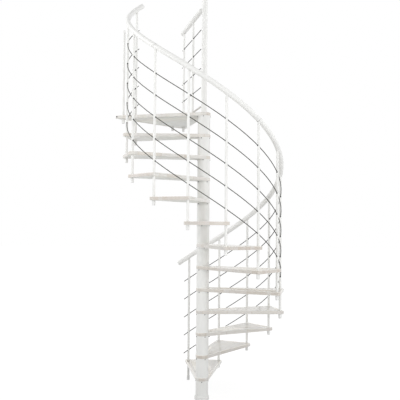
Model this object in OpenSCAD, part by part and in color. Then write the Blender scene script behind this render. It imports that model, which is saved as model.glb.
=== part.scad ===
// Kit spiral staircase: wedge treads on a stacked column, a helical handrail,
// guard rods threaded through slim balusters and a wedge landing with its own railing.
// Z is up, the origin is on the column's axis at floor level.
// A heading is an angle from +Y, clockwise seen from above, the way the stair climbs.

/* [Climb] */
// Height from one step to the next
rise = 220; // [190:1:230]
// Turn from one step to the next, in degrees
step_turn = 25.2; // [22:0.1:29]
// Heading of the first tread, in degrees
first_heading = 1.2; // [0:0.1:20]

/* [Treads] */
// Thickness of a tread and of the landing
tread_t = 32; // [24:1:45]
// Wood between a baluster's centre and the outer edge
tread_rim = 34; // [26:1:50]
// How far an outer corner stands past the baluster's centre
tread_side = 39; // [30:1:60]
// How far the round heel of a tread stands past the column
tread_heel = 3.5; // [1:0.5:10]
// Radius of the outer corners
outer_corner_r = 24; // [10:1:28]

/* [Column] */
// Outside diameter of the column's spacer tubes
column_d = 125; // [100:1:150]
// Wall of a spacer tube
column_wall = 4; // [3:0.5:8]
// Diameter of the centre pole
pole_d = 56; // [48:1:70]
// Height of the pole's top above the landing
pole_above = 1160; // [900:5:1300]
// Rounding of the pole's top edge
pole_round = 6; // [2:1:15]
// Wall of the foot collar
collar_wall = 9.5; // [6:0.5:20]
// Height of the foot collar
collar_h = 36; // [25:1:60]
// Rounding of the foot collar's edges
collar_round = 5; // [2:0.5:6]
// Floor plate inside the foot collar
plate_t = 8; // [6:1:15]

/* [Balusters] */
// Radius of the circle that the balusters stand on
ring_r = 775; // [600:5:950]
// Diameter of a baluster
baluster_d = 25; // [20:1:32]
// Wall of the cap under a tread
cap_wall = 2.5; // [1.5:0.5:5]
// Length of the cap under a tread
cap_len = 46; // [30:1:70]
// Floor of the cap
cap_floor = 6; // [4:1:10]
// Rounding of the cap's lower edge
cap_round = 5; // [2:0.5:8]

/* [Handrail] */
// Diameter of the handrail
rail_d = 50; // [38:1:55]
// Height of the handrail's centre above the tread at its baluster
rail_height = 1156; // [950:2:1250]
// How far the handrail runs past the first baluster, in steps
rail_before = 0.36; // [0.1:0.02:0.6]
// How far the handrail runs past the last baluster, in steps
rail_after = 0.32; // [0.1:0.02:0.5]
// Diameter of the neck that carries the handrail
neck_d = 14; // [10:1:18]
// Distance from a baluster's top to the handrail's underside
neck_h = 14; // [10:1:30]
// Thickness of the neck's foot
neck_foot = 4; // [2:0.5:5]
// Length of the saddle plate along the handrail
saddle_len = 36; // [24:1:50]
// Width of the saddle plate
saddle_w = 20; // [16:1:26]
// Thickness of the saddle plate
saddle_t = 3; // [2:0.5:5]

/* [Guard rods] */
// Diameter of a rod
rod_d = 8; // [5:0.5:10]
// Height of the lowest rod above the tread at its baluster
rod_low = 111; // [80:1:140]
// Distance from the highest rod to the handrail's centre
rod_clear = 245; // [150:5:300]
// How far the rods run past the end balusters, in steps
rod_over = 0.16; // [0.08:0.01:0.25]

/* [Landing] */
// Turn from the last tread to the landing's middle, in degrees
landing_turn = 37.6; // [34:0.1:42]
// Wood between the last baluster's centre and the landing's outer edge
landing_rim = 68; // [40:1:120]
// How far the stair-side tip stands past the last baluster, along the outer edge
landing_tip = 212; // [120:1:240]
// Length of the outer edge from the landing's middle to its railing-side corner
landing_corner = 441; // [400:1:520]
// Offset of the railing-side edge from the axis
landing_back = 22; // [10:1:45]
// Radius of the landing's outer corners
landing_corner_r = 4; // [3:0.5:12]
// Distance of the corner post from the landing's outer edge
post_in = 28; // [24:1:60]
// Distance of the corner post from the stair-side tip, along the outer edge
post_side = 80; // [70:1:110]
// Height of the corner post above the landing
post_above = 910; // [800:5:1100]
// Rounding of the corner post's top edge
post_round = 4; // [1:0.5:8]
// Distance of the spare socket from the landing's outer edge
socket_in = 32; // [24:1:60]
// Distance of the spare socket from the railing-side corner, along the outer edge
socket_side = 218; // [150:1:350]

/* [Landing railing] */
// Height of the rail's centre above the landing
guard_height = 1070; // [900:5:1150]
// Height of the lower bar above the landing
guard_low = 72; // [50:1:100]
// Diameter of the lower bar
guard_bar_d = 18; // [8:1:18]
// Distance of the railing from the landing's edge
guard_in = 42; // [30:1:60]
// Distance of the far baluster from the landing's corner
guard_corner = 92; // [70:1:150]
// Distance between the two balusters
guard_bay = 415; // [300:5:450]
// How far the railing runs past its far baluster
guard_past = 72; // [40:1:90]
// Distance of the railing's start from the pole
guard_pole_gap = 38; // [30:1:100]
// Wood left under the near baluster, which stands in a blind hole
guard_floor = 10; // [6:1:14]

/* [Fits] */
// Gap round the pole in a tread
pole_fit = 0.3; // [0.2:0.1:0.6]
// Gap round a baluster in its hole or cap
baluster_fit = 0.3; // [0.2:0.1:0.6]
// Gap round a rod in its hole
rod_fit = 0.4; // [0.3:0.1:0.8]
// Gap round the column in its collar
collar_fit = 0.3; // [0.2:0.1:0.6]
// Gap between a saddle and the handrail
saddle_fit = 0.3; // [0.2:0.1:0.6]

/* [Hidden] */
$fn = 64;
tread_count = 12;
rod_count = 5;
// Straight pieces that make up a rounded corner and a round heel
corner_steps = 6;
heel_steps = 24;
// Sides of the swept bars, and the length of one sweep step as a share of a stair step
rail_sides = 16;
rod_sides = 8;
rail_step = 1 / 6;
rod_step = 1 / 6;
// Radius and push of the rings that round off a handrail's end, as shares of its radius
dome = [[0.87, 0.17], [0.55, 0.27]];
// Rounding of a rod's and a rail's cut end
rod_round = 0.5;
bar_round = 2;
rail_round = 5;
// How far a cutter stands out of what it cuts
over = 1;

landing_z = (tread_count + 1) * rise;
half_turn = step_turn / 2;
slope = atan(rise / (ring_r * step_turn * PI / 180));
heel_r = column_d / 2 + tread_heel;
tread_reach = ring_r * cos(half_turn) + tread_rim;
tread_half = ring_r * sin(half_turn) + tread_side;
cap_d = baluster_d + 2 * baluster_fit + 2 * cap_wall;
collar_r = column_d / 2 + collar_fit + collar_wall;
rod_gap = (rail_height - rod_clear - rod_low) / (rod_count - 1);
guard_gap = (guard_height - guard_low) / rod_count;
neck_drop = rail_d / 2 / cos(slope) + neck_h;
guard_neck_drop = rail_d / 2 + neck_h;

// Headings and heights that follow the climb. A step number may be a fraction.
function tread_heading(k) = first_heading + (k - 1) * step_turn;
function baluster_heading(k) = first_heading + (k - 0.5) * step_turn;
function rail_z(k) = (k + 1) * rise + rail_height;
function rod_z(k, row) = (k + 1) * rise + rod_low + (row - 1) * rod_gap;
function guard_z(row) = guard_low + row * guard_gap;

// Outlines with rounded corners. A radius of 0 leaves a corner sharp.
function unit(v) = v / norm(v);
function heading_of(p) = atan2(p[0], p[1]);
function toward(h) = [sin(h), cos(h)];
function corner_arc(a, p, b, r) =
    let (
        u = unit(a - p),
        v = unit(b - p),
        half = acos(u * v) / 2,
        c = p + unit(u + v) * r / sin(half),
        s = p + u * r / tan(half) - c,
        e = p + v * r / tan(half) - c,
        from = atan2(s[1], s[0]),
        sweep = (atan2(e[1], e[0]) - from + 540) % 360 - 180
    )
    [for (i = [0 : corner_steps])
        let (turn = from + sweep * i / corner_steps)
        c + r * [cos(turn), sin(turn)]];
function rounded(pts, radii) =
    let (n = len(pts))
    [for (i = [0 : n - 1])
        each radii[i] > 0 ? corner_arc(pts[(i + n - 1) % n], pts[i], pts[(i + 1) % n], radii[i]) : [pts[i]]];

// A wedge with a round heel on the axis. Its left and right edges run from the outer
// corners past the axis, at the given offsets; an edge as far out as the heel is tangent to it.
function edge_left(tip, off) = heading_of(tip) + asin(off / norm(tip));
function edge_right(tip, off) = heading_of(tip) - asin(off / norm(tip));
function wedge(left, right, off_left, off_right, corner_r) =
    let (
        from = edge_right(right, off_right) + asin(off_right / heel_r),
        to = 360 + edge_left(left, off_left) - asin(off_left / heel_r),
        heel = [for (i = [0 : heel_steps]) heel_r * toward(from + (to - from) * i / heel_steps)]
    )
    concat(
        heel,
        corner_arc(heel[heel_steps], left, right, corner_r),
        corner_arc(left, right, heel[0], corner_r)
    );

// A round bar along the helix, from step k0 to step k1, with its ends flat or domed.
// z0 is the height of the bar's centre at the first baluster.
function helix_centre(k, z0) =
    let (p = ring_r * toward(baluster_heading(k)))
    [p[0], p[1], z0 + k * rise];
function helix_tangent(k) =
    let (h = baluster_heading(k))
    [cos(h) * cos(slope), -sin(h) * cos(slope), sin(slope)];
function helix_ring(k, z0, r, push, sides) =
    let (
        t = helix_tangent(k),
        q = toward(baluster_heading(k)),
        out = [q[0], q[1], 0],
        side = cross(out, t)
    )
    [for (j = [0 : sides - 1])
        let (turn = 360 * j / sides)
        helix_centre(k, z0) + push * t + r * (cos(turn) * out + sin(turn) * side)];

module helix_bar(k0, k1, z0, r, sides, step, dome_first = false, dome_last = false) {
    n = max(1, round((k1 - k0) / step));
    first_rings = dome_first ? [for (i = [len(dome) - 1 : -1 : 0]) [k0, dome[i][0], -dome[i][1]]] : [];
    last_rings = dome_last ? [for (d = dome) [k1, d[0], d[1]]] : [];
    rings = concat(first_rings, [for (i = [0 : n]) [k0 + (k1 - k0) * i / n, 1, 0]], last_rings);
    m = len(rings);
    pts = [for (q = rings) each helix_ring(q[0], z0, r * q[1], r * q[2], sides)];
    walls = [for (i = [0 : m - 2]) for (j = [0 : sides - 1])
        let (
            a = i * sides + j,
            b = i * sides + (j + 1) % sides
        )
        each [[a, b, b + sides], [a, b + sides, a + sides]]];
    first = [for (j = [0 : sides - 1]) sides - 1 - j];
    last = [for (j = [0 : sides - 1]) (m - 1) * sides + j];
    polyhedron(points = pts, faces = concat(walls, [first, last]), convexity = 10);
}

module at_heading(h) {
    rotate([0, 0, -h]) children();
}

module at_baluster(k) {
    at_heading(baluster_heading(k)) translate([0, ring_r, 0]) children();
}

// The landing's own frame: +Y from the axis to the middle of the landing, Z from its top
landing_lag = landing_turn - half_turn;
landing_reach = ring_r * cos(landing_lag) + landing_rim;
tip_left = [-ring_r * sin(landing_lag) - landing_tip, landing_reach];
tip_right = [landing_corner, landing_reach];
post_xy = tip_left + [post_side, -post_in];
socket_xy = tip_right - [socket_side, socket_in];

module on_landing() {
    translate([0, 0, landing_z]) at_heading(tread_heading(tread_count) + landing_turn) children();
}

module at_landing(xy) {
    on_landing() translate([xy[0], xy[1], 0]) children();
}

// The railing runs beside the landing's right edge; s is the distance along it from the axis
guard_far = sqrt(pow(norm(tip_right), 2) - pow(landing_back, 2)) - guard_corner;
guard_near = guard_far - guard_bay;
guard_start = pole_d / 2 + guard_pole_gap;
guard_end = guard_far + guard_past;

module at_guard(s) {
    on_landing() at_heading(edge_right(tip_right, landing_back)) translate([landing_back - guard_in, s, 0]) children();
}

// Foot and column
module base_collar() {
    bore_r = column_d / 2 + collar_fit;
    color("white") rotate_extrude() polygon(rounded(
        [[0, 0], [collar_r, 0], [collar_r, collar_h], [bore_r, collar_h], [bore_r, plate_t], [0, plate_t]],
        [0, collar_round, collar_round, 0, 0, 0]
    ));
}

module spacer(z0, z1) {
    translate([0, 0, z0]) difference() {
        cylinder(d = column_d, h = z1 - z0);
        translate([0, 0, -over]) cylinder(d = column_d - 2 * column_wall, h = z1 - z0 + 2 * over);
    }
}

module column_spacers() {
    color("white") {
        spacer(plate_t, rise - tread_t);
        for (k = [1 : tread_count]) spacer(k * rise, (k + 1) * rise - tread_t);
    }
}

module centre_pole() {
    top = landing_z + pole_above;
    color("white") rotate_extrude() polygon(rounded(
        [[0, plate_t], [pole_d / 2, plate_t], [pole_d / 2, top], [0, top]],
        [0, 0, pole_round, 0]
    ));
}

// Treads
module pole_hole() {
    translate([0, 0, -tread_t - over]) cylinder(d = pole_d + 2 * pole_fit, h = tread_t + 2 * over);
}

module baluster_hole() {
    translate([0, 0, -tread_t - over]) cylinder(d = baluster_d + 2 * baluster_fit, h = tread_t + 2 * over);
}

module tread(k) {
    left = [-tread_half, tread_reach];
    right = [tread_half, tread_reach];
    color("tan") translate([0, 0, k * rise]) at_heading(tread_heading(k)) difference() {
        translate([0, 0, -tread_t]) linear_extrude(tread_t) polygon(wedge(left, right, heel_r, heel_r, outer_corner_r));
        pole_hole();
        for (side = [-1, 1]) at_heading(side * half_turn) translate([0, ring_r, 0]) baluster_hole();
    }
}

// Landing
module landing() {
    color("tan") difference() {
        on_landing() translate([0, 0, -tread_t]) linear_extrude(tread_t)
            polygon(wedge(tip_left, tip_right, heel_r, landing_back, landing_corner_r));
        on_landing() pole_hole();
        translate([0, 0, landing_z]) at_baluster(tread_count) baluster_hole();
        at_guard(guard_near) translate([0, 0, guard_floor + over]) baluster_hole();
        at_guard(guard_far) baluster_hole();
        at_landing(post_xy) baluster_hole();
    }
}

// Closed socket under the landing, for another post
module landing_socket() {
    color("white") at_landing(socket_xy) translate([0, 0, -tread_t - cap_len]) rotate_extrude() polygon(rounded(
        [[0, 0], [cap_d / 2, 0], [cap_d / 2, cap_len], [0, cap_len]],
        [0, cap_round, 0, 0]
    ));
}

// Balusters, drilled for the rods
module rod_hole(z, d, tilt) {
    long = 4 * baluster_d;
    translate([0, 0, z]) rotate([0, 90 - tilt, 0]) translate([0, 0, -long / 2]) cylinder(d = d + 2 * rod_fit, h = long);
}

function baluster_foot(k) = k == 0 ? cap_floor : k * rise - tread_t - cap_len + cap_floor;
landing_foot = -tread_t - cap_len + cap_floor;

module stair_balusters() {
    color("white") for (k = [0 : tread_count]) at_baluster(k) difference() {
        translate([0, 0, baluster_foot(k)]) cylinder(d = baluster_d, h = rail_z(k) - neck_drop - baluster_foot(k));
        for (row = [1 : rod_count]) rod_hole(rod_z(k, row), rod_d, slope);
    }
}

module guard_baluster(s, foot) {
    at_guard(s) rotate([0, 0, 90]) difference() {
        translate([0, 0, foot]) cylinder(d = baluster_d, h = guard_height - guard_neck_drop - foot);
        rod_hole(guard_low, guard_bar_d, 0);
        for (row = [1 : rod_count - 1]) rod_hole(guard_z(row), rod_d, 0);
    }
}

// The near baluster stands in a blind hole, the far one goes through the landing to its cap
module landing_balusters() {
    color("white") {
        guard_baluster(guard_near, guard_floor - tread_t);
        guard_baluster(guard_far, landing_foot);
    }
}

module corner_post() {
    color("white") at_landing(post_xy) rotate_extrude() polygon(rounded(
        [[0, landing_foot], [baluster_d / 2, landing_foot], [baluster_d / 2, post_above], [0, post_above]],
        [0, 0, post_round, 0]
    ));
}

// A cap stands on z = 0, closed below, with a bore for the baluster
module cap() {
    bore_r = baluster_d / 2 + baluster_fit;
    rotate_extrude() polygon(rounded(
        [[0, 0], [cap_d / 2, 0], [cap_d / 2, cap_len], [bore_r, cap_len], [bore_r, cap_floor], [0, cap_floor]],
        [0, cap_round, 0, 0, 0, 0]
    ));
}

module baluster_caps() {
    drop = -tread_t - cap_len;
    color("white") {
        at_baluster(0) cap();
        for (k = [1 : tread_count]) translate([0, 0, k * rise + drop]) at_baluster(k) cap();
        at_guard(guard_far) translate([0, 0, drop]) cap();
        at_landing(post_xy) translate([0, 0, drop]) cap();
    }
}

// Turned neck on a baluster's top, with a curved saddle plate under the rail
module along_rail(tilt) {
    rotate([0, 90 - tilt, 0]) children();
}

module rail_support(drop, tilt) {
    // the plate is centred where the neck meets the rail's underside
    plate_from = -rail_d / 2 * tan(tilt) - saddle_len / 2;
    difference() {
        union() {
            translate([0, 0, -drop]) rotate_extrude() polygon([
                [0, 0],
                [baluster_d / 2, 0],
                [baluster_d / 2, neck_foot],
                [neck_d / 2, 2 * neck_foot],
                [neck_d / 2, drop],
                [0, drop]
            ]);
            along_rail(tilt) translate([0, 0, plate_from]) intersection() {
                cylinder(d = rail_d + 2 * saddle_fit + 2 * saddle_t, h = saddle_len);
                translate([0, -saddle_w / 2, 0]) cube([rail_d, saddle_w, saddle_len]);
            }
        }
        along_rail(tilt) translate([0, 0, -2 * rail_d]) cylinder(d = rail_d + 2 * saddle_fit, h = 4 * rail_d);
    }
}

module rail_supports() {
    color("gray") {
        for (k = [0 : tread_count]) at_baluster(k) translate([0, 0, rail_z(k)]) rail_support(neck_drop, slope);
        for (s = [guard_near, guard_far]) at_guard(s) translate([0, 0, guard_height]) rotate([0, 0, 90])
            rail_support(guard_neck_drop, 0);
    }
}

// The handrail's four lengths meet face to face above a baluster; its two free ends are domed
rail_cuts = [-rail_before, 3, 6, 9, tread_count + rail_after];

module handrail(i) {
    color("white") helix_bar(
        rail_cuts[i - 1], rail_cuts[i], rail_z(0), rail_d / 2, rail_sides, rail_step,
        dome_first = i == 1, dome_last = i == len(rail_cuts) - 1
    );
}

// One rod, threaded through all the stair's balusters
module rod_row(row) {
    color("gray") helix_bar(-rod_over, tread_count + rod_over, rod_z(0, row), rod_d / 2, rod_sides, rod_step);
}

// Landing railing
module guard_bar(d, z, end_round) {
    long = guard_end - guard_start;
    color("white") at_guard(guard_start) translate([0, 0, z]) rotate([-90, 0, 0]) rotate_extrude() polygon(rounded(
        [[0, 0], [d / 2, 0], [d / 2, long], [0, long]],
        [0, end_round, end_round, 0]
    ));
}

module landing_rail() {
    guard_bar(rail_d, guard_height, rail_round);
}

module landing_rods() {
    for (row = [1 : rod_count - 1]) guard_bar(rod_d, guard_z(row), rod_round);
}

module landing_lower_bar() {
    guard_bar(guard_bar_d, guard_low, bar_round);
}

base_collar();
column_spacers();
centre_pole();
tread(1);  // tread_01
tread(2);  // tread_02
tread(3);  // tread_03
tread(4);  // tread_04
tread(5);  // tread_05
tread(6);  // tread_06
tread(7);  // tread_07
tread(8);  // tread_08
tread(9);  // tread_09
tread(10);  // tread_10
tread(11);  // tread_11
tread(12);  // tread_12
landing();
landing_socket();
stair_balusters();
landing_balusters();
corner_post();
baluster_caps();
rail_supports();
handrail(1);  // handrail_1
handrail(2);  // handrail_2
handrail(3);  // handrail_3
handrail(4);  // handrail_4
rod_row(1);  // rod_row_1
rod_row(2);  // rod_row_2
rod_row(3);  // rod_row_3
rod_row(4);  // rod_row_4
rod_row(5);  // rod_row_5
landing_rail();
landing_rods();
landing_lower_bar();
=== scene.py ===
"""Looks of the spiral staircase: rounded boards, smooth rails, small fixings, materials, light and camera.

Everything is in the CAD's own frame, in metres with Z up.
"""

import math

import bmesh
import bpy
from mathutils import Matrix, Vector


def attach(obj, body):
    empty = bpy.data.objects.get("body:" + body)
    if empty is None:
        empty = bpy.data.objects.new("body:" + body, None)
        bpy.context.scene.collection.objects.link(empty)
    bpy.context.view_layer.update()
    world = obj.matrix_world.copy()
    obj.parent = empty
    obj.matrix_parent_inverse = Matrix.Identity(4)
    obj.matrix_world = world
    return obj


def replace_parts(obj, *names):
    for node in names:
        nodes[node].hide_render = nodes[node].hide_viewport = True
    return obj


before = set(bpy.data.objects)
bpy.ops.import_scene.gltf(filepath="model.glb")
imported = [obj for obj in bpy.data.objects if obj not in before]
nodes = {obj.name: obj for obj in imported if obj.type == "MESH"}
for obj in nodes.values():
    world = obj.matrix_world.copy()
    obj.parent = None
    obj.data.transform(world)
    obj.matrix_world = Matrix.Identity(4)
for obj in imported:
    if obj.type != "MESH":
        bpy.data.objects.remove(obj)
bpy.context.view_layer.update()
scene = bpy.context.scene

# Sizes of the stair, as in part.scad. A heading is an angle from +Y in degrees, clockwise seen from above.
STEPS = 12
RODS = 5
RISE = 0.220
TURN = 25.2
FIRST = 1.2
TREAD_T = 0.032
COLUMN_R = 0.0625
HEEL_R = 0.066
RING_R = 0.775
BALUSTER_R = 0.0125
RAIL_R = 0.025
RAIL_HEIGHT = 1.156
ROD_R = 0.004
ROD_LOW = 0.111
ROD_GAP = 0.200
ROD_OVER = 0.16
LANDING_TURN = 37.6
LANDING_RIM = 0.068
LANDING_PAST = 0.212
LANDING_SIDE = 0.441
LANDING_BACK = 0.022
POST_IN = 0.028
POST_SIDE = 0.080
GUARD_HEIGHT = 1.070
GUARD_LOW = 0.072
GUARD_IN = 0.042
GUARD_CORNER = 0.092
GUARD_BAY = 0.415
# The steps at which the lengths of handrail begin and end
RAIL_CUTS = [-0.36, 3, 6, 9, 12.32]

# Places that follow from the sizes. The landing's tip is on the stair's side, its corner on the railing's.
SLOPE = math.atan(RISE / (RING_R * math.radians(TURN)))
LANDING_Z = (STEPS + 1) * RISE
LAST_TURN = math.radians(LANDING_TURN - TURN / 2)
LANDING_REACH = RING_R * math.cos(LAST_TURN) + LANDING_RIM
LANDING_TIP = Vector((-RING_R * math.sin(LAST_TURN) - LANDING_PAST, LANDING_REACH))
LANDING_CORNER = Vector((LANDING_SIDE, LANDING_REACH))
FRONT_TURN = math.degrees(math.atan2(*LANDING_TIP) + math.asin(HEEL_R / LANDING_TIP.length))
FRONT_LENGTH = math.sqrt(LANDING_TIP.length ** 2 - HEEL_R ** 2)
GUARD_TURN = math.degrees(math.atan2(*LANDING_CORNER) - math.asin(LANDING_BACK / LANDING_CORNER.length))
GUARD_FAR = math.sqrt(LANDING_CORNER.length ** 2 - LANDING_BACK ** 2) - GUARD_CORNER
GUARD_NEAR = GUARD_FAR - GUARD_BAY
GUARD_GAP = (GUARD_HEIGHT - GUARD_LOW) / RODS


def tread_heading(k):
    return FIRST + (k - 1) * TURN


def baluster_heading(k):
    return FIRST + (k - 0.5) * TURN


def polar(radius, heading, z=0.0):
    a = math.radians(heading)
    return Vector((radius * math.sin(a), radius * math.cos(a), z))


def landing_place(x, y, z, turn=0.0):
    """A point of the landing's own frame: +Y to its middle, Z from its top, turned by a heading."""
    a = math.radians(tread_heading(STEPS) + LANDING_TURN + turn)
    return Vector((x * math.cos(a) + y * math.sin(a), y * math.cos(a) - x * math.sin(a), LANDING_Z + z))


def landing_way(x, y, turn):
    """A level direction of the landing's own frame, turned by a heading."""
    return landing_place(x, y, 0, turn) - landing_place(0, 0, 0, turn)


def climb(k):
    """Direction of the helix at step k."""
    a = math.radians(baluster_heading(k))
    return Vector((math.cos(a) * math.cos(SLOPE), -math.sin(a) * math.cos(SLOPE), math.sin(SLOPE)))


# Materials

def new_material(name, roughness, metallic=0.0, specular=0.5):
    m = bpy.data.materials.new(name)
    m.use_nodes = True
    shader = m.node_tree.nodes["Principled BSDF"]
    shader.inputs["Roughness"].default_value = roughness
    shader.inputs["Metallic"].default_value = metallic
    shader.inputs["Specular IOR Level"].default_value = specular
    return m, m.node_tree, shader


def plug(tree, socket, value):
    """Links a socket, or sets a number or a colour on it."""
    if isinstance(value, bpy.types.NodeSocket):
        tree.links.new(value, socket)
    elif isinstance(value, tuple):
        socket.default_value = (*value, 1.0)
    elif value is not None:
        socket.default_value = value


def grey(v):
    return (v, v, v)


def shade(colour, share):
    return tuple(share * c for c in colour)


def ramp(tree, source, stops):
    n = tree.nodes.new("ShaderNodeValToRGB")
    tree.links.new(source, n.inputs["Fac"])
    elements = n.color_ramp.elements
    while len(elements) < len(stops):
        elements.new(0.5)
    for element, (position, colour) in zip(elements, stops):
        element.position = position
        element.color = (*colour, 1.0)
    return n.outputs["Color"]


def mix(tree, kind, share, a, b):
    """Mixes two colours. The node has sockets for other types too, so its share and colours go by number."""
    n = tree.nodes.new("ShaderNodeMix")
    n.data_type = "RGBA"
    n.blend_type = kind
    plug(tree, n.inputs[0], share)
    plug(tree, n.inputs[6], a)
    plug(tree, n.inputs[7], b)
    return n.outputs[2]


def maths(tree, op, a, b=None):
    n = tree.nodes.new("ShaderNodeMath")
    n.operation = op
    plug(tree, n.inputs[0], a)
    plug(tree, n.inputs[1], b)
    return n.outputs[0]


def split(tree, vector):
    n = tree.nodes.new("ShaderNodeSeparateXYZ")
    tree.links.new(vector, n.inputs["Vector"])
    return n.outputs


def join(tree, x, y, z):
    n = tree.nodes.new("ShaderNodeCombineXYZ")
    for socket, value in zip(n.inputs, (x, y, z)):
        plug(tree, socket, value)
    return n.outputs["Vector"]


def noise(tree, vector, scale, detail, rough=0.5):
    n = tree.nodes.new("ShaderNodeTexNoise")
    n.inputs["Scale"].default_value = scale
    n.inputs["Detail"].default_value = detail
    n.inputs["Roughness"].default_value = rough
    tree.links.new(vector, n.inputs["Vector"])
    return n.outputs["Fac"]


def chance(tree, x, y, z):
    """A random number that belongs to these three numbers."""
    n = tree.nodes.new("ShaderNodeTexWhiteNoise")
    n.noise_dimensions = "3D"
    tree.links.new(join(tree, x, y, z), n.inputs["Vector"])
    return n.outputs["Value"]


def bump(tree, shader, height, strength, distance):
    n = tree.nodes.new("ShaderNodeBump")
    n.inputs["Strength"].default_value = strength
    n.inputs["Distance"].default_value = distance
    tree.links.new(height, n.inputs["Height"])
    tree.links.new(n.outputs["Normal"], shader.inputs["Normal"])


def object_place(tree):
    return tree.nodes.new("ShaderNodeTexCoord").outputs["Object"]


def object_value(tree, name):
    n = tree.nodes.new("ShaderNodeAttribute")
    n.attribute_type = "OBJECT"
    n.attribute_name = name
    return n.outputs["Fac"]


def board_frame(tree, vector):
    """A vector's parts along the board, across it towards its back edge, and up."""
    n = tree.nodes.new("ShaderNodeVectorRotate")
    n.rotation_type = "Z_AXIS"
    plug(tree, n.inputs["Vector"], vector)
    plug(tree, n.inputs["Angle"], object_value(tree, "heading"))
    return split(tree, n.outputs["Vector"])


def paint(name, colour, worn, roughness, orange_peel=0.04):
    """Powder coat: fine orange peel, faint cloudiness and slightly rubbed patches."""
    m, t, s = new_material(name, roughness)
    at = object_place(t)
    cloud = noise(t, at, scale=7.0, detail=4.0)
    speck = noise(t, at, scale=240.0, detail=2.0)
    tone = ramp(t, cloud, [(0.35, worn), (0.62, colour)])
    fleck = ramp(t, speck, [(0.3, grey(0.86)), (0.6, grey(1.0))])
    plug(t, s.inputs["Base Color"], mix(t, "MULTIPLY", 0.10, tone, fleck))
    gloss = ramp(t, cloud, [(0.3, grey(roughness + 0.08)), (0.7, grey(roughness - 0.06))])
    plug(t, s.inputs["Roughness"], gloss)
    bump(t, s, noise(t, at, scale=420.0, detail=2.0), strength=orange_peel, distance=0.0006)
    return m


def plastic(name, colour, roughness):
    """Moulded plastic: fine spark texture and a faint tone change."""
    m, t, s = new_material(name, roughness, specular=0.4)
    at = object_place(t)
    tone = noise(t, at, scale=35.0, detail=3.0)
    plug(t, s.inputs["Base Color"], ramp(t, tone, [(0.3, shade(colour, 0.9)), (0.65, colour)]))
    bump(t, s, noise(t, at, scale=900.0, detail=2.0), strength=0.10, distance=0.0004)
    return m


def steel(name, colour, roughness):
    """Drawn rod: fine streaks and small changes of gloss."""
    m, t, s = new_material(name, roughness, metallic=0.75)
    at = object_place(t)
    streak = noise(t, at, scale=160.0, detail=4.0, rough=0.6)
    plug(t, s.inputs["Base Color"], ramp(t, streak, [(0.3, shade(colour, 0.72)), (0.7, colour)]))
    gloss = ramp(t, streak, [(0.3, grey(roughness - 0.08)), (0.7, grey(roughness + 0.1))])
    plug(t, s.inputs["Roughness"], gloss)
    bump(t, s, streak, strength=0.08, distance=0.0003)
    return m


# The wood's staves. Their lengths go from SHORTEST to SHORTEST + SPREAD times STAVE_LENGTH,
# and START_RANGE shifts the rows against each other, in staves.
STAVE_WIDTH = 0.043
STAVE_LENGTH = 0.30
SHORTEST = 0.8
SPREAD = 0.5
START_RANGE = 7.0
FINGER_PITCH = 0.0086
FINGER_LENGTH = 0.010
JOINT = 0.0006
# Any two numbers, to draw a row's start and its lengths apart from each other
START_DRAW = 3.1
LENGTH_DRAW = 8.7
# How fast the grain changes along and across a stave, and how far it differs from stave to stave
GRAIN_ALONG = 3.0
GRAIN_ACROSS = 46.0
GRAIN_PHASE = 40.0
STAVE_TONES = [
    (0.0, (0.805, 0.750, 0.672)),
    (0.25, (0.858, 0.824, 0.760)),
    (0.60, (0.885, 0.869, 0.820)),
    (0.85, (0.876, 0.848, 0.806)),
    (1.0, (0.836, 0.792, 0.735)),
]
# painted shade for the upright sides, and a darker painted shade for the back edge; the end grain tone is
# the wood's own
SIDE_SHADE_TONE = (0.800, 0.805, 0.820)
BACK_EDGE_SHADE_TONE = (0.890, 0.875, 0.865)
END_TONE = (0.850, 0.816, 0.796)
# painted shade for the underside, and how much of it is mixed in
UNDERSIDE_SHADE_TONE = (0.76, 0.80, 0.795)
UNDERSIDE_SHADE_SHARE = 0.6
LACQUER = 1.0
LACQUER_ROUGHNESS = 0.18


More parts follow.
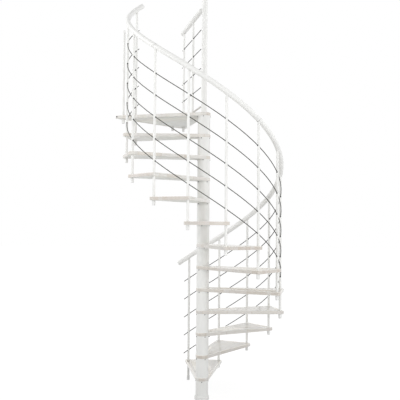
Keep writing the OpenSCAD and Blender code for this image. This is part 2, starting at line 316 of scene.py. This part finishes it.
def whitewashed_wood(name):
    """Finger-jointed staves along the board, under a thin white stain and a clear lacquer, with painted
    shade on the upright sides and the underside.
    """
    m, t, s = new_material(name, 0.55)
    seed = object_value(t, "seed")
    x, y, z = board_frame(t, object_place(t))

    # rows of staves across the board, each with its own start and its own lengths
    across = maths(t, "DIVIDE", maths(t, "ADD", y, 0.5 * STAVE_WIDTH), STAVE_WIDTH)
    row = maths(t, "FLOOR", across)
    start = chance(t, row, seed, START_DRAW)
    spread = maths(t, "MULTIPLY", chance(t, row, seed, LENGTH_DRAW), SPREAD)
    length = maths(t, "MULTIPLY", maths(t, "ADD", SHORTEST, spread), STAVE_LENGTH)
    finger = maths(t, "PINGPONG", y, 0.5 * FINGER_PITCH)
    finger = maths(t, "MULTIPLY", finger, FINGER_LENGTH / (0.5 * FINGER_PITCH))
    run = maths(t, "DIVIDE", maths(t, "ADD", x, finger), length)
    run = maths(t, "ADD", run, maths(t, "MULTIPLY", start, START_RANGE))
    own = chance(t, row, maths(t, "FLOOR", run), seed)
    tone = ramp(t, own, STAVE_TONES)

    # grain: noise stretched along the stave, with another phase in each stave
    phase = maths(t, "MULTIPLY", own, GRAIN_PHASE)
    grain_x = maths(t, "MULTIPLY", x, GRAIN_ALONG)
    grain_y = maths(t, "MULTIPLY", y, GRAIN_ACROSS)
    grain_z = maths(t, "ADD", maths(t, "MULTIPLY", z, GRAIN_ACROSS), phase)
    grain = noise(t, join(t, grain_x, grain_y, grain_z), scale=2.2, detail=6.0, rough=0.62)
    lines = ramp(t, grain, [(0.34, (0.88, 0.85, 0.81)), (0.56, grey(1.0))])
    wood = mix(t, "MULTIPLY", 0.6, tone, lines)

    # fine dark lines at the glue joints
    seam = maths(t, "MULTIPLY", maths(t, "PINGPONG", across, 0.5), STAVE_WIDTH)
    butt = maths(t, "MULTIPLY", maths(t, "PINGPONG", run, 0.5), STAVE_LENGTH)
    from_joint = maths(t, "DIVIDE", maths(t, "MINIMUM", seam, butt), 2 * JOINT)
    joint = ramp(t, from_joint, [(0.2, (0.90, 0.87, 0.83)), (0.9, grey(1.0))])
    wood = mix(t, "MULTIPLY", 1.0, wood, joint)

    # the upright sides are painted darker as painted shade, the back edge most of all; the end grain is
    # darker wood besides
    normal = t.nodes.new("ShaderNodeNewGeometry").outputs["Normal"]
    along_board, backward, upward = board_frame(t, normal)
    # painted shade: faces that stand upright are darker
    edges = ramp(t, maths(t, "ABSOLUTE", upward), [(0.3, SIDE_SHADE_TONE), (0.8, grey(1.0))])
    wood = mix(t, "MULTIPLY", 1.0, wood, edges)
    # painted shade: the back edge is darker again
    back_edge = ramp(t, backward, [(0.4, grey(1.0)), (0.8, BACK_EDGE_SHADE_TONE)])
    wood = mix(t, "MULTIPLY", 1.0, wood, back_edge)
    ends = ramp(t, maths(t, "ABSOLUTE", along_board), [(0.72, grey(1.0)), (0.95, END_TONE)])
    wood = mix(t, "MULTIPLY", 1.0, wood, ends)

    # the underside is painted greyer and darker as painted shade, which also makes it plainer, and it has no
    # lacquer
    below = ramp(t, maths(t, "MULTIPLY", upward, -1.0), [(0.6, grey(0.0)), (0.95, grey(1.0))])
    # painted shade: downward faces are mixed towards the grey underside tone
    wood = mix(t, "MIX", maths(t, "MULTIPLY", below, UNDERSIDE_SHADE_SHARE), wood, UNDERSIDE_SHADE_TONE)
    lacquer = maths(t, "SUBTRACT", LACQUER, maths(t, "MULTIPLY", below, LACQUER))

    plug(t, s.inputs["Base Color"], wood)
    plug(t, s.inputs["Roughness"], ramp(t, grain, [(0.3, grey(0.66)), (0.7, grey(0.48))]))
    plug(t, s.inputs["Coat Weight"], lacquer)
    plug(t, s.inputs["Coat Roughness"], LACQUER_ROUGHNESS)
    pores = ramp(t, grain, [(0.3, grey(0.6)), (0.6, grey(1.0))])
    bump(t, s, mix(t, "MULTIPLY", 1.0, pores, joint), strength=0.22, distance=0.0008)
    return m


WOOD = whitewashed_wood("whitewashed_wood")
COLUMN = paint("column_powder_coat", (0.80, 0.80, 0.785), (0.78, 0.78, 0.76), 0.42)
WHITE = paint("baluster_powder_coat", (0.815, 0.815, 0.80), (0.795, 0.795, 0.775), 0.36)
BAR = paint("bar_powder_coat", (0.58, 0.57, 0.55), (0.55, 0.54, 0.52), 0.42)
RAIL = paint("handrail_cover", (0.81, 0.81, 0.795), (0.795, 0.795, 0.78), 0.38, orange_peel=0.015)
CAP = plastic("cap_moulding", (0.83, 0.83, 0.82), 0.5)
SUPPORT = plastic("support_moulding", (0.82, 0.82, 0.805), 0.5)
ROD = steel("drawn_rod", (0.075, 0.073, 0.066), 0.45)
BUSH = plastic("black_bushing", (0.035, 0.035, 0.037), 0.55)
SCREW = steel("dark_screw", (0.10, 0.10, 0.10), 0.38)

# Nodes that show as the CAD made them
NODE_MATERIALS = {
    "base_collar": COLUMN,
    "column_spacers": COLUMN,
    "centre_pole": COLUMN,
    "stair_balusters": WHITE,
    "landing_balusters": WHITE,
    "corner_post": WHITE,
    "baluster_caps": CAP,
    "landing_socket": CAP,
    "rail_supports": SUPPORT,
    "landing_rail": RAIL,
    "landing_rods": ROD,
    "landing_lower_bar": BAR,
}
for name, material in NODE_MATERIALS.items():
    nodes[name].data.materials.clear()
    nodes[name].data.materials.append(material)


# Pieces

def piece(name, bm, material):
    mesh = bpy.data.meshes.new(name)
    bm.to_mesh(mesh)
    bm.free()
    for f in mesh.polygons:
        f.use_smooth = True
    obj = bpy.data.objects.new(name, mesh)
    scene.collection.objects.link(obj)
    mesh.materials.append(material)
    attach(obj, "root")
    return obj


def circle(sides):
    return [2 * math.pi * i / sides for i in range(sides)]


def skin(bm, rings):
    """Faces between rings of points; a ring of one point closes the form."""
    rings = [[bm.verts.new(p) for p in ring] for ring in rings]
    for low, high in zip(rings, rings[1:]):
        sides = max(len(low), len(high))
        for i in range(sides):
            j = (i + 1) % sides
            if len(low) == 1:
                bm.faces.new((low[0], high[j], high[i]))
            elif len(high) == 1:
                bm.faces.new((low[i], low[j], high[0]))
            else:
                bm.faces.new((low[i], low[j], high[j], high[i]))


def lathe(bm, profile, place, sides):
    """A turned form: profile is (radius, height) from bottom to top, put in place by a matrix."""
    skin(bm, [
        [place @ Vector((0, 0, z))] if r == 0
        else [place @ Vector((r * math.cos(a), r * math.sin(a), z)) for a in circle(sides)]
        for r, z in profile
    ])


def along(point, direction):
    """Places a form with its Z axis along a direction."""
    z = Vector(direction).normalized()
    return Matrix.Translation(point) @ z.to_track_quat("Z", "Y").to_matrix().to_4x4()


def helix_bar(k0, k1, z0, r, sides, per_step, first_end, last_end):
    """A smooth round bar along the helix. Its ends are lists of (share of the radius, share pushed out)."""
    def ring(k, share, push):
        h = baluster_heading(k)
        tangent = climb(k)
        out = polar(1, h)
        up = tangent.cross(out)
        centre = polar(RING_R, h, z0 + k * RISE) + push * r * tangent
        if share == 0:
            return [centre]
        return [centre + share * r * (math.cos(a) * out + math.sin(a) * up) for a in circle(sides)]

    n = round((k1 - k0) * per_step)
    rings = [ring(k0, share, -push) for share, push in reversed(first_end)]
    rings += [ring(k0 + (k1 - k0) * i / n, 1, 0) for i in range(n + 1)]
    rings += [ring(k1, share, push) for share, push in last_end]
    bm = bmesh.new()
    skin(bm, rings)
    bmesh.ops.recalc_face_normals(bm, faces=bm.faces)
    return bm


# Boards: the CAD's own, with rounded edges. The landing's corners are tight and take less.
TREAD_ROUNDING = 0.005
LANDING_ROUNDING = 0.002
ROUNDING_STEPS = 4
# Edges this close to the middle of a hole are its rim. They are covered, and stay sharp.
POLE_RIM = 0.040
BALUSTER_RIM = 0.016
# What counts as touching, as flat and as an edge
TOUCHING = 1e-5
FLAT = math.radians(1)
EDGE = math.radians(40)
# Any numbers, to give each board its own staves
TREAD_SEED = 1.37
LANDING_SEED = 21.3


def board(name, heading, seed, holes, rounding):
    """The CAD's own board with its top and bottom edges rounded over."""
    bm = bmesh.new()
    bm.from_mesh(nodes[name].data)
    bmesh.ops.remove_doubles(bm, verts=bm.verts, dist=TOUCHING)
    bmesh.ops.dissolve_limit(bm, angle_limit=FLAT, verts=bm.verts, edges=bm.edges)

    # a new mesh, without the CAD's stored normals
    clean = bmesh.new()
    points = [clean.verts.new(v.co) for v in bm.verts]
    bm.verts.index_update()
    for f in bm.faces:
        clean.faces.new([points[v.index] for v in f.verts])
    bm.free()
    clean.normal_update()

    weight = clean.edges.layers.float.new("bevel_weight_edge")
    for e in clean.edges:
        start, end = (v.co for v in e.verts)
        middle = (start + end) / 2
        level = abs(start.z - end.z) < TOUCHING
        sharp = len(e.link_faces) == 2 and e.calc_face_angle() > EDGE
        at_pole = middle.to_2d().length < POLE_RIM
        at_baluster = any((middle - hole).to_2d().length < BALUSTER_RIM for hole in holes)
        e[weight] = 1.0 if level and sharp and not at_pole and not at_baluster else 0.0

    obj = piece(name + "_board", clean, WOOD)
    bevel = obj.modifiers.new("edge_rounding", "BEVEL")
    bevel.width = rounding
    bevel.segments = ROUNDING_STEPS
    bevel.limit_method = "WEIGHT"
    bevel.harden_normals = True
    obj["heading"] = math.radians(heading) + math.pi / 2
    obj["seed"] = seed
    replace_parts(obj, name)


for k in range(1, STEPS + 1):
    tread_holes = [polar(RING_R, baluster_heading(n)) for n in (k - 1, k)]
    board("tread_%02d" % k, tread_heading(k), TREAD_SEED * k, tread_holes, TREAD_ROUNDING)
landing_holes = [
    polar(RING_R, baluster_heading(STEPS)),
    landing_place(LANDING_TIP.x + POST_SIDE, LANDING_TIP.y - POST_IN, 0),
    landing_place(LANDING_BACK - GUARD_IN, GUARD_FAR, 0, GUARD_TURN),
    landing_place(LANDING_BACK - GUARD_IN, GUARD_NEAR, 0, GUARD_TURN),
]
board("landing", tread_heading(STEPS) + LANDING_TURN, LANDING_SEED, landing_holes, LANDING_ROUNDING)

# Handrail in four lengths, with a domed end at the foot and the top and close butt joints between
RAIL_SIDES = 40
RAIL_RINGS = 24
DOME_PUSH = 0.28
DOME = [(math.cos(a), DOME_PUSH * math.sin(a)) for a in (0.3, 0.6, 0.9, 1.2, 1.4)] + [(0, DOME_PUSH)]
BUTT = [(0.997, 0), (0.90, 0), (0, 0)]
rail_z = RISE + RAIL_HEIGHT
rail_lengths = list(zip(RAIL_CUTS, RAIL_CUTS[1:]))
for i, (k0, k1) in enumerate(rail_lengths, start=1):
    first_end = DOME if i == 1 else BUTT
    last_end = DOME if i == len(rail_lengths) else BUTT
    bar = helix_bar(k0, k1, rail_z, RAIL_R, RAIL_SIDES, RAIL_RINGS, first_end, last_end)
    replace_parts(piece("handrail_length_%d" % i, bar, RAIL), "handrail_%d" % i)

# Guard rods, each one bent to the helix and threaded through all the balusters
ROD_SIDES = 14
ROD_RINGS = 12
ROD_END = [(0.9, 0.12), (0.7, 0.18), (0, 0.2)]
for row in range(RODS):
    rod_z = RISE + ROD_LOW + row * ROD_GAP
    bar = helix_bar(-ROD_OVER, STEPS + ROD_OVER, rod_z, ROD_R, ROD_SIDES, ROD_RINGS, ROD_END, ROD_END)
    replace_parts(piece("guard_rod_%d" % (row + 1), bar, ROD), "rod_row_%d" % (row + 1))

# Rubber bushings where the rods go into a baluster, sunk a little into its round side
BUSH_PROFILE = [
    (0.0046, -0.0022), (0.0070, -0.0022), (0.0074, 0.0004),
    (0.0070, 0.0022), (0.0058, 0.0030), (0.0044, 0.0032),
]
BUSH_SIDES = 16
BUSH_SINK = 0.001


def bushings(bm, centre, way, reach):
    """A bushing on both sides of a hole. Reach is from its middle to the baluster's side, along the rod."""
    for side in (-1, 1):
        place = along(centre + side * (reach - BUSH_SINK) * way, side * way)
        lathe(bm, BUSH_PROFILE, place, BUSH_SIDES)


bm = bmesh.new()
for k in range(STEPS + 1):
    for row in range(RODS):
        centre = polar(RING_R, baluster_heading(k), (k + 1) * RISE + ROD_LOW + row * ROD_GAP)
        bushings(bm, centre, climb(k), BALUSTER_R / math.cos(SLOPE))
for y in (GUARD_NEAR, GUARD_FAR):
    for row in range(1, RODS):
        centre = landing_place(LANDING_BACK - GUARD_IN, y, GUARD_LOW + row * GUARD_GAP, GUARD_TURN)
        bushings(bm, centre, landing_way(0, 1, GUARD_TURN), BALUSTER_R)
piece("rod_bushings", bm, BUSH)

# Four screws under each tread and the landing, through the upper end of the tube below.
# Each tube is turned its own way: these are the headings of one screw on each, from the lowest up.
SCREW_HEADINGS = [182, 152, 154, 158, 214, 218, 169, 192, 232, 235, 186, 203, 185]
SCREW_DROP = 0.0075
SCREW_PROFILE = [
    (0.0046, -0.0010), (0.0046, 0.0012), (0.0040, 0.0026),
    (0.0024, 0.0032), (0.0022, 0.0020), (0.0, 0.0018),
]
SCREW_SIDES = 14
bm = bmesh.new()
for k, first_screw in enumerate(SCREW_HEADINGS, start=1):
    screw_z = k * RISE - TREAD_T - SCREW_DROP
    for quarter in range(4):
        h = first_screw + 90 * quarter
        lathe(bm, SCREW_PROFILE, along(polar(COLUMN_R, h, screw_z), polar(1, h)), SCREW_SIDES)
piece("column_screws", bm, SCREW)

# A dark screw in the landing's front edge, close to the tip, with a larger head than the others
TIP_SCREW_IN = 0.015
TIP_SCREW_DROP = 0.014
TIP_SCREW_SCALE = 1.5
TIP_SCREW_SIDES = 18
bm = bmesh.new()
head = landing_place(-HEEL_R, FRONT_LENGTH - TIP_SCREW_IN, -TIP_SCREW_DROP, FRONT_TURN)
tip_screw_place = along(head, landing_way(-1, 0, FRONT_TURN)) @ Matrix.Scale(TIP_SCREW_SCALE, 4)
lathe(bm, SCREW_PROFILE, tip_screw_place, TIP_SCREW_SIDES)
piece("landing_tip_screw", bm, SCREW)


# Stage

def when_seen(tree, usual, seen, share=1.0):
    """A shader that gives way to another for rays from the camera, or by way of a mirror or glass."""
    rays = tree.nodes.new("ShaderNodeLightPath").outputs
    mirrored = maths(tree, "MAXIMUM", rays["Is Glossy Ray"], rays["Is Transmission Ray"])
    directly = maths(tree, "MAXIMUM", rays["Is Camera Ray"], mirrored)
    n = tree.nodes.new("ShaderNodeMixShader")
    plug(tree, n.inputs["Fac"], maths(tree, "MULTIPLY", directly, share))
    plug(tree, n.inputs[1], usual)
    plug(tree, n.inputs[2], seen)
    return n.outputs["Shader"]


FLOOR_HALF = 40.0
FLOOR_DROP = 0.001
floor_mesh = bpy.data.meshes.new("floor")
corners = [(x * FLOOR_HALF, y * FLOOR_HALF, 0) for x, y in ((-1, -1), (1, -1), (1, 1), (-1, 1))]
floor_mesh.from_pydata(corners, [], [(0, 1, 2, 3)])
floor = bpy.data.objects.new("floor", floor_mesh)
floor.location.z = -FLOOR_DROP
scene.collection.objects.link(floor)

# The floor looks almost white, but throws less light back close to the stair
FLOOR_PALE_FROM = 2.4
FLOOR_TONES = [(0.4, grey(0.56)), (1.0, grey(0.86))]
FLOOR_GLOW = 1.10
FLOOR_GLOW_SHARE = 0.85
floor_material = bpy.data.materials.new("studio_floor")
floor_material.use_nodes = True
t = floor_material.node_tree
t.nodes.clear()
x, y, _ = split(t, object_place(t))
distance = maths(t, "SQRT", maths(t, "ADD", maths(t, "MULTIPLY", x, x), maths(t, "MULTIPLY", y, y)))
diffuse = t.nodes.new("ShaderNodeBsdfDiffuse")
plug(t, diffuse.inputs["Color"], ramp(t, maths(t, "DIVIDE", distance, FLOOR_PALE_FROM), FLOOR_TONES))
glow = t.nodes.new("ShaderNodeEmission")
plug(t, glow.inputs["Strength"], FLOOR_GLOW)
surface = when_seen(t, diffuse.outputs["BSDF"], glow.outputs["Emission"], FLOOR_GLOW_SHARE)
plug(t, t.nodes.new("ShaderNodeOutputMaterial").inputs["Surface"], surface)
floor_mesh.materials.append(floor_material)

# Soft light all round, a little more of it from behind the stair; seen directly it is white paper
SKY_LEVEL = 0.57
SKY_BEHIND = 0.30
PAPER_LEVEL = 1.0
world = bpy.data.worlds.new("studio")
scene.world = world
world.use_nodes = True
t = world.node_tree
t.nodes.clear()
_, behind, _ = split(t, t.nodes.new("ShaderNodeTexCoord").outputs["Generated"])
more = maths(t, "MULTIPLY", maths(t, "MAXIMUM", behind, 0.0), SKY_BEHIND)
sky = t.nodes.new("ShaderNodeBackground")
plug(t, sky.inputs["Color"], grey(1.0))
plug(t, sky.inputs["Strength"], maths(t, "ADD", SKY_LEVEL, more))
paper = t.nodes.new("ShaderNodeBackground")
plug(t, paper.inputs["Color"], grey(1.0))
plug(t, paper.inputs["Strength"], PAPER_LEVEL)
surface = when_seen(t, sky.outputs["Background"], paper.outputs["Background"])
plug(t, t.nodes.new("ShaderNodeOutputWorld").inputs["Surface"], surface)

# Soft lamps, all turned to the middle of the stair
STAIR_MIDDLE = Vector((0, 0, 2.0))


def softbox(name, place, size, power):
    light = bpy.data.lights.new(name, "AREA")
    light.shape = "RECTANGLE"
    light.size = size
    light.size_y = size
    light.energy = power
    obj = bpy.data.objects.new(name, light)
    obj.location = place
    obj.rotation_euler = (STAIR_MIDDLE - Vector(place)).to_track_quat("-Z", "Y").to_euler()
    scene.collection.objects.link(obj)
    obj.visible_camera = False


softbox("key", (3.0, -7.0, 2.5), size=5.0, power=175)
softbox("fill_left", (-4.5, 0.0, 4.5), size=4.0, power=101)
softbox("fill_right", (4.5, 0.0, 4.5), size=4.0, power=69)
softbox("fill_front", (-2.2, -3.0, 3.2), size=2.5, power=22)

# Camera, at eye height in front of the stair. Its lens is in millimetres, its turns in radians.
EYE = (0.0, -6.1628, 1.7303)
SENSOR = 36.0
LENS = 55.16
PITCH = 0.0404
YAW = 0.0055
ROLL = 0.0084
camera = bpy.data.cameras.new("camera")
camera.sensor_width = SENSOR
camera.lens = LENS
camera.clip_end = 200.0
eye = bpy.data.objects.new("camera", camera)
eye.matrix_world = (
    Matrix.Translation(EYE)
    @ Matrix.Rotation(YAW, 4, "Z")
    @ Matrix.Rotation(math.pi / 2 + PITCH, 4, "X")
    @ Matrix.Rotation(ROLL, 4, "Z")
)
scene.collection.objects.link(eye)
scene.camera = eye

scene.view_settings.view_transform = "Standard"
